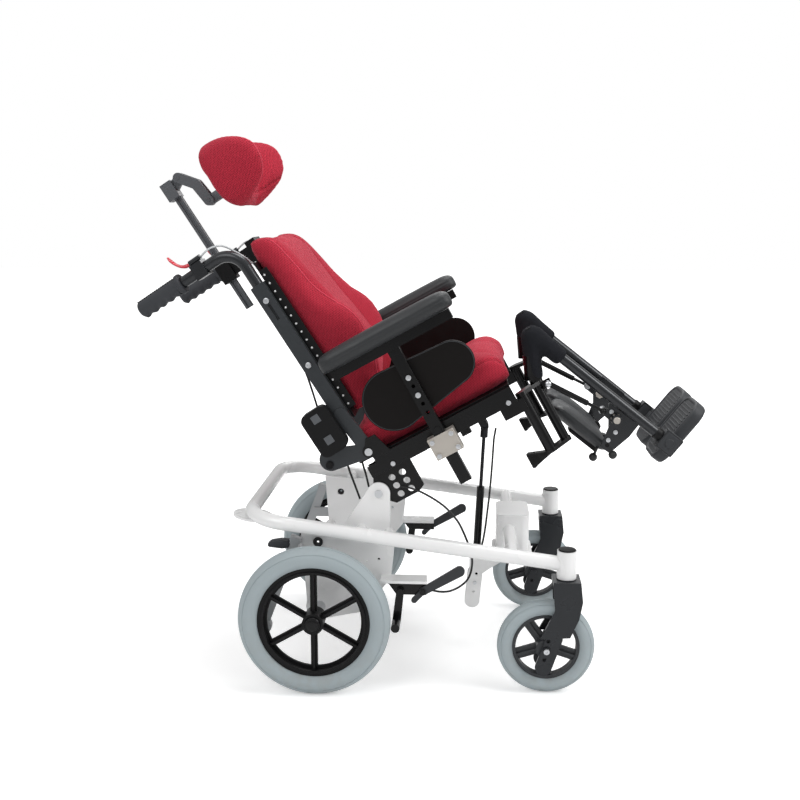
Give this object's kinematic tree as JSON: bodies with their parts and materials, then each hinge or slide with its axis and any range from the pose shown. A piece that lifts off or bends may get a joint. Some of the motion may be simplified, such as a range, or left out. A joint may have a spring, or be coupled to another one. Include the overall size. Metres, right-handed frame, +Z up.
{
  "type": "tilt-in-space wheelchair",
  "caption": "Attendant-pushed tilt-in-space wheelchair with a reclining back, adjustable headrest, armrests and elevating swing-away legrests, shown tilted back.",
  "frame": {"origin": "on the floor, at the middle of the chair's length and width", "axes": "+X forward, the way the sitter faces, +Y to the sitter's left, +Z up"},
  "size_m": [1.1872, 0.622, 1.1374],
  "materials": {
    "white_enamel": "gloss white enamel",
    "zinc": "bright zinc plate",
    "grey_bar": "satin grey enamel",
    "black_enamel": "satin black powder coat",
    "tyre_grey": "non-marking grey rubber",
    "black_plastic": "moulded black plastic",
    "red_cloth": "fine red spacer mesh cloth",
    "receiver_silver": "satin cast aluminium",
    "grey_tube": "dark grey powder coat",
    "grip_rubber": "soft charcoal polyurethane",
    "foot_plastic": "moulded charcoal plastic",
    "red_plastic": "glossy red plastic"
  },
  "bodies": {
    "base": {"base_side_right": "white_enamel", "base_side_left": "white_enamel", "rear_loop": "white_enamel", "front_cross": "white_enamel", "base_pins": "zinc", "tip_bars": "grey_bar", "lock_clamps": "black_enamel"},
    "seat": {"seat_frame": "black_enamel", "seat_pan": "black_plastic", "seat_cushion": "red_cloth", "arm_receivers": "receiver_silver", "seat_fasteners": "zinc"},
    "back": {"back_posts": "black_enamel", "joint_covers": "black_plastic", "back_shell": "black_enamel", "back_cushion": "red_cloth", "headrest_holder": "black_enamel"},
    "handles": {"push_handles": "grey_tube", "push_grips": "grip_rubber"},
    "tilt_lever": {"tilt_lever": "red_plastic"},
    "recline_lever": {"recline_lever": "red_plastic"},
    "headrest_post": {"headrest_stem": "grey_tube"},
    "headrest_arm": {"headrest_arm": "grey_tube"},
    "headrest": {"headrest_pad": "red_cloth"},
    "gas_cylinder": {"gas_cylinder": "black_enamel"},
    "gas_rod": {"gas_rod": "zinc"},
    "rear_wheel_right": {"rear_tyre_right": "tyre_grey", "rear_rim_right": "black_plastic"},
    "caster_right": {"caster_fork_right": "black_plastic"},
    "caster_wheel_right": {"caster_tyre_right": "tyre_grey", "caster_rim_right": "black_plastic"},
    "lock_lever_right": {"lock_lever_right": "black_enamel"},
    "lock_shoe_right": {"lock_shoe_right": "black_plastic"},
    "armrest_right": {"arm_post_right": "black_enamel", "arm_pad_right": "grip_rubber", "side_guard_right": "black_plastic"},
    "leg_hanger_right": {"leg_hanger_right": "black_enamel"},
    "leg_right": {"leg_tube_right": "grey_tube", "knee_foam_right": "grip_rubber"},
    "calf_right": {"calf_pad_right": "grip_rubber"},
    "foot_right": {"footplate_right": "foot_plastic"},
    "strut_tube_right": {"strut_tube_right": "black_enamel"},
    "strut_rod_right": {"strut_rod_right": "zinc"},
    "rear_wheel_left": {"rear_tyre_left": "tyre_grey", "rear_rim_left": "black_plastic"},
    "caster_left": {"caster_fork_left": "black_plastic"},
    "caster_wheel_left": {"caster_tyre_left": "tyre_grey", "caster_rim_left": "black_plastic"},
    "lock_lever_left": {"lock_lever_left": "black_enamel"},
    "lock_shoe_left": {"lock_shoe_left": "black_plastic"},
    "armrest_left": {"arm_post_left": "black_enamel", "arm_pad_left": "grip_rubber", "side_guard_left": "black_plastic"},
    "leg_hanger_left": {"leg_hanger_left": "black_enamel"},
    "leg_left": {"leg_tube_left": "grey_tube", "knee_foam_left": "grip_rubber"},
    "calf_left": {"calf_pad_left": "grip_rubber"},
    "foot_left": {"footplate_left": "foot_plastic"},
    "strut_tube_left": {"strut_tube_left": "black_enamel"},
    "strut_rod_left": {"strut_rod_left": "zinc"}
  },
  "joints": [
    {"name": "rear_wheel_right_spin", "type": "hinge", "parent": "base", "child": "rear_wheel_right", "pos_m": [-0.21375, -0.28, 0.1575], "axis": [0, 1, 0], "continuous": true},
    {"name": "caster_right_swivel", "type": "hinge", "parent": "base", "child": "caster_right", "pos_m": [0.30025, -0.24, 0.27], "axis": [0, 0, 1], "continuous": true},
    {"name": "caster_wheel_right_spin", "type": "hinge", "parent": "caster_right", "child": "caster_wheel_right", "pos_m": [0.26125, -0.24, 0.1], "axis": [0, 1, 0], "continuous": true},
    {"name": "lock_lever_right_pull", "type": "hinge", "parent": "base", "child": "lock_lever_right", "pos_m": [0.00725, -0.236, 0.209], "axis": [0, 1, 0], "range_deg": [0, 45]},
    {"name": "lock_shoe_right_release", "type": "hinge", "parent": "base", "child": "lock_shoe_right", "pos_m": [-0.03975, -0.236, 0.209], "axis": [0, 1, 0], "range_deg": [-12.5, 0]},
    {"name": "rear_wheel_left_spin", "type": "hinge", "parent": "base", "child": "rear_wheel_left", "pos_m": [-0.21375, 0.28, 0.1575], "axis": [0, 1, 0], "continuous": true},
    {"name": "caster_left_swivel", "type": "hinge", "parent": "base", "child": "caster_left", "pos_m": [0.30025, 0.24, 0.27], "axis": [0, 0, 1], "continuous": true},
    {"name": "caster_wheel_left_spin", "type": "hinge", "parent": "caster_left", "child": "caster_wheel_left", "pos_m": [0.26125, 0.24, 0.1], "axis": [0, 1, 0], "continuous": true},
    {"name": "lock_lever_left_pull", "type": "hinge", "parent": "base", "child": "lock_lever_left", "pos_m": [0.00725, 0.236, 0.209], "axis": [0, 1, 0], "range_deg": [0, 45]},
    {"name": "lock_shoe_left_release", "type": "hinge", "parent": "base", "child": "lock_shoe_left", "pos_m": [-0.03975, 0.236, 0.209], "axis": [0, 1, 0], "range_deg": [-12.5, 0]},
    {"name": "seat_tilt", "type": "hinge", "parent": "base", "child": "seat", "pos_m": [-0.08675, 0, 0.406], "axis": [0, 1, 0], "range_deg": [0, 29]},
    {"name": "back_recline", "type": "hinge", "parent": "seat", "child": "back", "pos_m": [-0.10591, 0, 0.49771], "axis": [0, -1, 0], "range_deg": [0, 28]},
    {"name": "handle_height", "type": "slide", "parent": "back", "child": "handles", "axis": [-0.5402, 0, 0.8415], "range_m": [0, 0.036]},
    {"name": "tilt_lever_squeeze", "type": "hinge", "parent": "handles", "child": "tilt_lever", "pos_m": [-0.47823, -0.17541, 0.87306], "axis": [-0.1026, -0.9925, -0.0658], "range_deg": [0, 16], "stiffness_Nm_per_rad": 0.6, "springref_deg": -20.05},
    {"name": "recline_lever_squeeze", "type": "hinge", "parent": "handles", "child": "recline_lever", "pos_m": [-0.47823, 0.17541, 0.87306], "axis": [0.1026, -0.9925, 0.0658], "range_deg": [0, 16], "stiffness_Nm_per_rad": 0.6, "springref_deg": -20.05},
    {"name": "headrest_height", "type": "slide", "parent": "back", "child": "headrest_post", "axis": [-0.5402, 0, 0.8415], "range_m": [-0.02, 0.025]},
    {"name": "headrest_arm_tilt", "type": "hinge", "parent": "headrest_post", "child": "headrest_arm", "pos_m": [-0.53614, 0, 1.05216], "axis": [0, -1, 0], "range_deg": [-10, 25]},
    {"name": "headrest_pad_tilt", "type": "hinge", "parent": "headrest_arm", "child": "headrest", "pos_m": [-0.46983, 0, 1.00441], "axis": [0, -1, 0], "range_deg": [-10, 15]},
    {"name": "armrest_right_height", "type": "slide", "parent": "seat", "child": "armrest_right", "axis": [-0.4848, 0, 0.8746], "range_m": [0, 0.06]},
    {"name": "armrest_left_height", "type": "slide", "parent": "seat", "child": "armrest_left", "axis": [-0.4848, 0, 0.8746], "range_m": [0, 0.06]},
    {"name": "gas_spring_swing", "type": "hinge", "parent": "base", "child": "gas_cylinder", "pos_m": [0.11525, 0, 0.151], "axis": [0, 1, 0], "range_deg": [0, 7.3]},
    {"name": "gas_spring_stroke", "type": "slide", "parent": "gas_cylinder", "child": "gas_rod", "axis": [0.0486, 0, 0.9988], "range_m": [-0.12, 0]},
    {"name": "leg_right_swing_away", "type": "hinge", "parent": "seat", "child": "leg_hanger_right", "pos_m": [0.22462, -0.185, 0.57859], "axis": [0.4848, 0, -0.8746], "range_deg": [0, 90]},
    {"name": "leg_right_raise", "type": "hinge", "parent": "leg_hanger_right", "child": "leg_right", "pos_m": [0.22001, -0.16, 0.73954], "axis": [0, -1, 0], "range_deg": [0, 34]},
    {"name": "strut_right_swing", "type": "hinge", "parent": "leg_hanger_right", "child": "strut_tube_right", "pos_m": [0.25847, -0.16, 0.63509], "axis": [0, -1, 0], "range_deg": [0, 44.4]},
    {"name": "strut_right_stroke", "type": "slide", "parent": "strut_tube_right", "child": "strut_rod_right", "axis": [0.8957, 0, -0.4447], "range_m": [0, 0.0604]},
    {"name": "calf_pad_right_tilt", "type": "hinge", "parent": "leg_right", "child": "calf_right", "pos_m": [0.385, -0.145, 0.50404], "axis": [0, 1, 0], "range_deg": [-15, 15]},
    {"name": "footplate_right_flip", "type": "hinge", "parent": "leg_right", "child": "foot_right", "pos_m": [0.51315, -0.1387, 0.51051], "axis": [0.6157, 0, 0.788], "range_deg": [0, 88]},
    {"name": "leg_left_swing_away", "type": "hinge", "parent": "seat", "child": "leg_hanger_left", "pos_m": [0.22462, 0.185, 0.57859], "axis": [-0.4848, 0, 0.8746], "range_deg": [0, 90]},
    {"name": "leg_left_raise", "type": "hinge", "parent": "leg_hanger_left", "child": "leg_left", "pos_m": [0.22001, 0.16, 0.73954], "axis": [0, -1, 0], "range_deg": [0, 34]},
    {"name": "strut_left_swing", "type": "hinge", "parent": "leg_hanger_left", "child": "strut_tube_left", "pos_m": [0.25847, 0.16, 0.63509], "axis": [0, -1, 0], "range_deg": [0, 44.4]},
    {"name": "strut_left_stroke", "type": "slide", "parent": "strut_tube_left", "child": "strut_rod_left", "axis": [0.8957, 0, -0.4447], "range_m": [0, 0.0604]},
    {"name": "calf_pad_left_tilt", "type": "hinge", "parent": "leg_left", "child": "calf_left", "pos_m": [0.385, 0.145, 0.50404], "axis": [0, 1, 0], "range_deg": [-15, 15]},
    {"name": "footplate_left_flip", "type": "hinge", "parent": "leg_left", "child": "foot_left", "pos_m": [0.51315, 0.1387, 0.51051], "axis": [-0.6157, 0, -0.788], "range_deg": [0, 88]}
  ],
  "couplings": [
    {"joint": "lock_shoe_right_release", "follows": "lock_lever_right_pull", "ratio": -0.27},
    {"joint": "lock_shoe_left_release", "follows": "lock_lever_left_pull", "ratio": -0.27},
    {"joint": "gas_spring_swing", "follows": "seat_tilt", "ratio": 0.24321},
    {"joint": "gas_spring_stroke", "follows": "seat_tilt", "m_per_rad": -0.23059},
    {"joint": "strut_right_swing", "follows": "leg_right_raise", "ratio": 1.2915},
    {"joint": "strut_right_stroke", "follows": "leg_right_raise", "m_per_rad": 0.10005},
    {"joint": "strut_left_swing", "follows": "leg_left_raise", "ratio": 1.2915},
    {"joint": "strut_left_stroke", "follows": "leg_left_raise", "m_per_rad": 0.10005}
  ]
}
